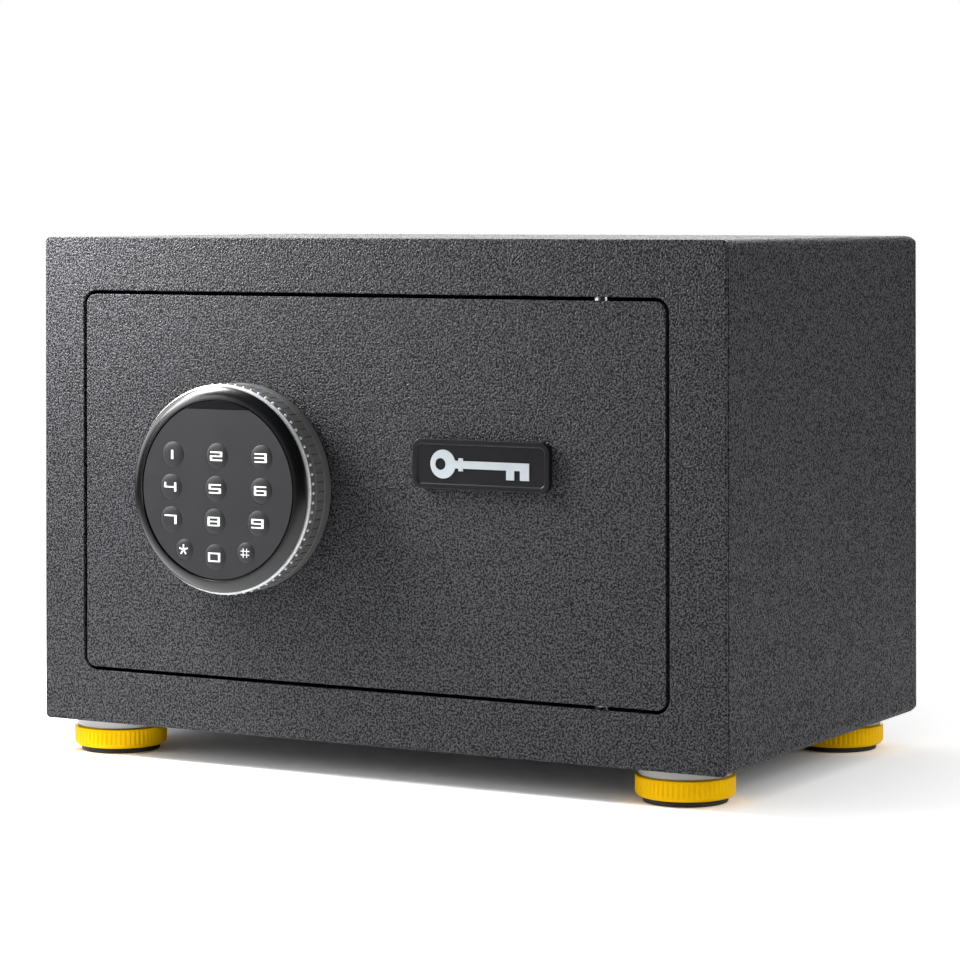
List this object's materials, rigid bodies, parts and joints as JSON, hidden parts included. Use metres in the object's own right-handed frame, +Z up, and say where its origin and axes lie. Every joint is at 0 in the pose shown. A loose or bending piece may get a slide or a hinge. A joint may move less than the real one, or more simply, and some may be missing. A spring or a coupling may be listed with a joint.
{
  "type": "hotel room safe",
  "caption": "Small steel room safe with a flush hinged door, a lock ring that turns round a fixed keypad, sliding bolts, a pull-off badge over an emergency lock, and levelling feet.",
  "frame": {"origin": "on the floor, under the centre of the whole box including the keypad that stands out in front", "axes": "+X to the right along the front, +Y from the front face into the depth, +Z up"},
  "size_m": [0.312, 0.2102, 0.214],
  "materials": {
    "steel_paint": "hammertone powder coat, satin",
    "cover_paint": "fine textured powder coat, matt",
    "zinc_steel": "zinc plated sheet",
    "bright_steel": "turned and polished",
    "chrome_trim": "polished chrome plate",
    "brass": "turned brass",
    "ring_plastic": "moulded, fine satin",
    "gloss_black": "moulded, polished",
    "badge_black": "moulded, satin gloss",
    "keypad_black": "soft satin moulding",
    "lens_black": "smoked lens",
    "inner_plastic": "moulded, fine texture",
    "circuit_board": "solder-masked glass laminate",
    "cell_wrap": "shrink sleeve",
    "lead_black": "soft sheath",
    "lead_red": "soft sheath",
    "red_plastic": "moulded",
    "foot_yellow": "moulded, semi-gloss",
    "foot_rubber": "matt rubber",
    "foot_white": "moulded, satin",
    "felt": "needled felt"
  },
  "bodies": {
    "case": {"front_frame": "steel_paint", "case_wrap": "steel_paint", "rear_panel": "steel_paint", "hinge_brackets": "zinc_steel", "bolt_keeper": "zinc_steel", "floor_mat": "felt", "foot_discs": "foot_white", "foot_nuts": "zinc_steel"},
    "door": {"door_plate": "steel_paint", "hinge_blocks": "zinc_steel", "hinge_pins": "bright_steel", "lock_chassis": "zinc_steel", "stem_bridge": "zinc_steel", "door_cover": "cover_paint", "cover_screws": "bright_steel", "keypad_stem": "bright_steel", "keypad_housing": "gloss_black", "keypad_plate": "keypad_black", "indicator_window": "lens_black", "keypad_board": "circuit_board", "solenoid": "zinc_steel", "emergency_lock_barrel": "chrome_trim", "control_board": "circuit_board", "battery_box": "inner_plastic", "battery_cells": "cell_wrap", "keypad_lead": "lead_black", "battery_lead": "lead_red"},
    "lock_ring": {"turn_ring": "ring_plastic", "trim_ring": "chrome_trim", "ring_spindle": "bright_steel", "crank_disc": "zinc_steel"},
    "bolts": {"bolt_carriage": "zinc_steel", "locking_bolts": "bright_steel"},
    "plunger": {"solenoid_plunger": "bright_steel", "plunger_spring": "bright_steel"},
    "emergency_plug": {"emergency_lock_plug": "brass", "emergency_lock_cam": "zinc_steel"},
    "badge": {"badge_cover": "badge_black"},
    "battery_lid": {"battery_lid": "inner_plastic"},
    "reset_button": {"reset_button": "red_plastic"},
    "key_1": {"key_1": "keypad_black"},
    "key_2": {"key_2": "keypad_black"},
    "key_3": {"key_3": "keypad_black"},
    "key_4": {"key_4": "keypad_black"},
    "key_5": {"key_5": "keypad_black"},
    "key_6": {"key_6": "keypad_black"},
    "key_7": {"key_7": "keypad_black"},
    "key_8": {"key_8": "keypad_black"},
    "key_9": {"key_9": "keypad_black"},
    "key_star": {"key_star": "keypad_black"},
    "key_0": {"key_0": "keypad_black"},
    "key_hash": {"key_hash": "keypad_black"},
    "pad_front_left": {"foot_pad_front_left": "foot_rubber"},
    "collar_front_left": {"foot_collar_front_left": "foot_yellow"},
    "pad_front_right": {"foot_pad_front_right": "foot_rubber"},
    "collar_front_right": {"foot_collar_front_right": "foot_yellow"},
    "pad_rear_left": {"foot_pad_rear_left": "foot_rubber"},
    "collar_rear_left": {"foot_collar_rear_left": "foot_yellow"},
    "pad_rear_right": {"foot_pad_rear_right": "foot_rubber"},
    "collar_rear_right": {"foot_collar_rear_right": "foot_yellow"}
  },
  "joints": [
    {"name": "door_swing", "type": "hinge", "parent": "case", "child": "door", "pos_m": [0.1006, -0.0769, 0.1135], "axis": [0, 0, 1], "range_deg": [0, 100]},
    {"name": "ring_turn", "type": "hinge", "parent": "door", "child": "lock_ring", "pos_m": [-0.0577, -0.0849, 0.1139], "axis": [0, -1, 0], "range_deg": [0, 90]},
    {"name": "bolt_throw", "type": "slide", "parent": "door", "child": "bolts", "axis": [-1, 0, 0], "range_m": [0, 0.01698]},
    {"name": "plunger_pull", "type": "slide", "parent": "door", "child": "plunger", "axis": [0, 0, 1], "range_m": [0, 0.003], "stiffness_N_per_m": 120, "springref_m": -0.004, "deforming": ["plunger_spring"]},
    {"name": "emergency_key_turn", "type": "hinge", "parent": "door", "child": "emergency_plug", "pos_m": [0.0527, -0.0849, 0.1265], "axis": [0, 1, 0], "range_deg": [0, 90]},
    {"name": "badge_pull_off", "type": "slide", "parent": "door", "child": "badge", "axis": [0, -1, 0], "range_m": [0, 0.014]},
    {"name": "battery_lid_open", "type": "hinge", "parent": "door", "child": "battery_lid", "pos_m": [0.025, -0.0474, 0.0857], "axis": [1, 0, 0], "range_deg": [0, 110]},
    {"name": "reset_press", "type": "slide", "parent": "door", "child": "reset_button", "axis": [0, -1, 0], "range_m": [0, 0.0008], "stiffness_N_per_m": 800, "springref_m": -0.0002},
    {"name": "key_1_press", "type": "slide", "parent": "door", "child": "key_1", "axis": [0, 1, 0], "range_m": [0, 0.0008], "stiffness_N_per_m": 1200, "springref_m": -0.0002},
    {"name": "key_2_press", "type": "slide", "parent": "door", "child": "key_2", "axis": [0, 1, 0], "range_m": [0, 0.0008], "stiffness_N_per_m": 1200, "springref_m": -0.0002},
    {"name": "key_3_press", "type": "slide", "parent": "door", "child": "key_3", "axis": [0, 1, 0], "range_m": [0, 0.0008], "stiffness_N_per_m": 1200, "springref_m": -0.0002},
    {"name": "key_4_press", "type": "slide", "parent": "door", "child": "key_4", "axis": [0, 1, 0], "range_m": [0, 0.0008], "stiffness_N_per_m": 1200, "springref_m": -0.0002},
    {"name": "key_5_press", "type": "slide", "parent": "door", "child": "key_5", "axis": [0, 1, 0], "range_m": [0, 0.0008], "stiffness_N_per_m": 1200, "springref_m": -0.0002},
    {"name": "key_6_press", "type": "slide", "parent": "door", "child": "key_6", "axis": [0, 1, 0], "range_m": [0, 0.0008], "stiffness_N_per_m": 1200, "springref_m": -0.0002},
    {"name": "key_7_press", "type": "slide", "parent": "door", "child": "key_7", "axis": [0, 1, 0], "range_m": [0, 0.0008], "stiffness_N_per_m": 1200, "springref_m": -0.0002},
    {"name": "key_8_press", "type": "slide", "parent": "door", "child": "key_8", "axis": [0, 1, 0], "range_m": [0, 0.0008], "stiffness_N_per_m": 1200, "springref_m": -0.0002},
    {"name": "key_9_press", "type": "slide", "parent": "door", "child": "key_9", "axis": [0, 1, 0], "range_m": [0, 0.0008], "stiffness_N_per_m": 1200, "springref_m": -0.0002},
    {"name": "key_star_press", "type": "slide", "parent": "door", "child": "key_star", "axis": [0, 1, 0], "range_m": [0, 0.0008], "stiffness_N_per_m": 1200, "springref_m": -0.0002},
    {"name": "key_0_press", "type": "slide", "parent": "door", "child": "key_0", "axis": [0, 1, 0], "range_m": [0, 0.0008], "stiffness_N_per_m": 1200, "springref_m": -0.0002},
    {"name": "key_hash_press", "type": "slide", "parent": "door", "child": "key_hash", "axis": [0, 1, 0], "range_m": [0, 0.0008], "stiffness_N_per_m": 1200, "springref_m": -0.0002},
    {"name": "foot_lower_front_left", "type": "slide", "parent": "case", "child": "pad_front_left", "axis": [0, 0, -1], "range_m": [0, 0.00375]},
    {"name": "foot_turn_front_left", "type": "hinge", "parent": "pad_front_left", "child": "collar_front_left", "pos_m": [-0.1335, -0.0629, 0.006], "axis": [0, 0, -1], "range_deg": [0, 1080]},
    {"name": "foot_lower_front_right", "type": "slide", "parent": "case", "child": "pad_front_right", "axis": [0, 0, -1], "range_m": [0, 0.00375]},
    {"name": "foot_turn_front_right", "type": "hinge", "parent": "pad_front_right", "child": "collar_front_right", "pos_m": [0.1285, -0.0629, 0.006], "axis": [0, 0, -1], "range_deg": [0, 1080]},
    {"name": "foot_lower_rear_left", "type": "slide", "parent": "case", "child": "pad_rear_left", "axis": [0, 0, -1], "range_m": [0, 0.00375]},
    {"name": "foot_turn_rear_left", "type": "hinge", "parent": "pad_rear_left", "child": "collar_rear_left", "pos_m": [-0.1335, 0.0831, 0.006], "axis": [0, 0, -1], "range_deg": [0, 1080]},
    {"name": "foot_lower_rear_right", "type": "slide", "parent": "case", "child": "pad_rear_right", "axis": [0, 0, -1], "range_m": [0, 0.00375]},
    {"name": "foot_turn_rear_right", "type": "hinge", "parent": "pad_rear_right", "child": "collar_rear_right", "pos_m": [0.1285, 0.0831, 0.006], "axis": [0, 0, -1], "range_deg": [0, 1080]}
  ],
  "couplings": [
    {"joint": "bolt_throw", "follows": "ring_turn", "m_per_rad": 0.010804},
    {"joint": "foot_lower_front_left", "follows": "foot_turn_front_left", "m_per_rad": 0.00019894},
    {"joint": "foot_lower_front_right", "follows": "foot_turn_front_right", "m_per_rad": 0.00019894},
    {"joint": "foot_lower_rear_left", "follows": "foot_turn_rear_left", "m_per_rad": 0.00019894},
    {"joint": "foot_lower_rear_right", "follows": "foot_turn_rear_right", "m_per_rad": 0.00019894}
  ]
}
